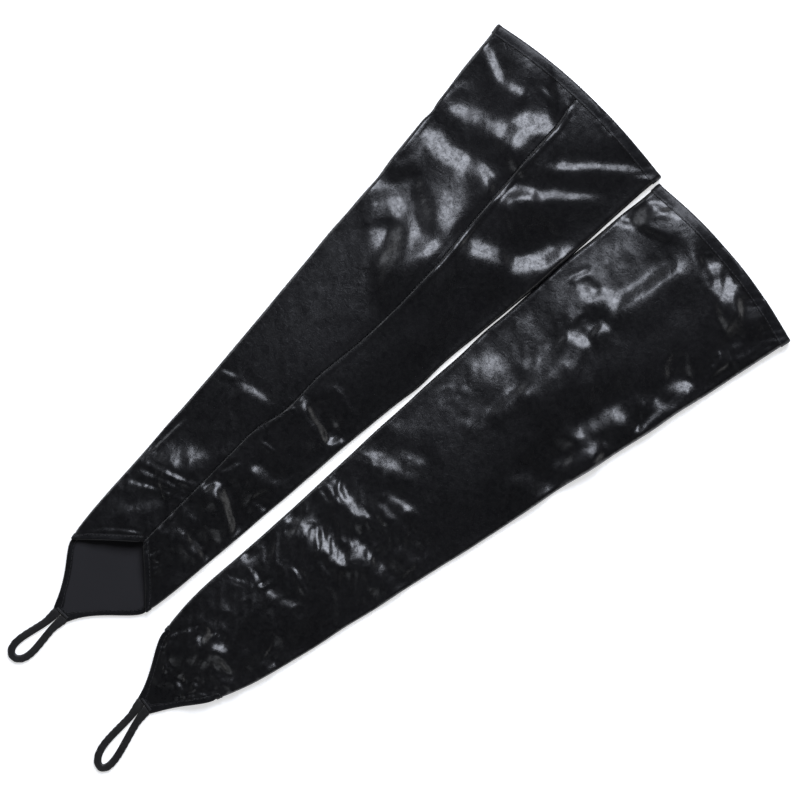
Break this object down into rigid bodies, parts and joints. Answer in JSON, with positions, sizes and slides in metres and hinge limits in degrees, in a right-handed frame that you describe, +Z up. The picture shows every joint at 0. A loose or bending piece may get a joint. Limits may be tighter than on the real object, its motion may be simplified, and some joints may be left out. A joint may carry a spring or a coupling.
{
  "type": "long fingerless gloves",
  "caption": "Long fingerless gloves in glossy black coated cloth, laid flat: tapering sleeves with a palm seam, a pointed flap over the back of the hand and a finger loop at its tip.",
  "frame": {"origin": "under the middle of the pair's bounding box, on the surface that the gloves lie on", "axes": "+Y from the hand ends to the arm openings; +X from the glove that lies palm up to the one that lies palm down; +Z up from the surface"},
  "size_m": [0.324, 0.6126, 0.0214],
  "materials": {
    "coated_cloth": "black stretch cloth with a glossy coating",
    "binding_cloth": "black coated cloth strip, satin",
    "loop_cloth": "narrow black cloth tube, pressed flat",
    "black_elastic": "woven elastic tape",
    "black_thread": "spun sewing thread"
  },
  "bodies": {
    "gloves": {"left_sleeve": "coated_cloth", "left_seam_thread": "black_thread", "left_arm_binding": "binding_cloth", "left_arm_elastic": "black_elastic", "left_arm_stitching": "black_thread", "left_hand_binding": "binding_cloth", "left_hand_stitching": "black_thread", "left_loop_bartack": "black_thread", "right_sleeve": "coated_cloth", "right_seam_thread": "black_thread", "right_arm_binding": "binding_cloth", "right_arm_elastic": "black_elastic", "right_arm_stitching": "black_thread", "right_hand_binding": "binding_cloth", "right_hand_stitching": "black_thread", "right_loop_bartack": "black_thread"},
    "left_loop": {"left_finger_loop": "loop_cloth"},
    "right_loop": {"right_finger_loop": "loop_cloth"}
  },
  "joints": [
    {"name": "left_loop_fold", "type": "hinge", "parent": "gloves", "child": "left_loop", "pos_m": [-0.04629, -0.24964, 0.00435], "axis": [-0.9976, -0.0698, 0], "range_deg": [0, 170]},
    {"name": "right_loop_fold", "type": "hinge", "parent": "gloves", "child": "right_loop", "pos_m": [0.04618, -0.24783, 0.00355], "axis": [-0.9973, 0.0732, 0], "range_deg": [0, 165]}
  ]
}
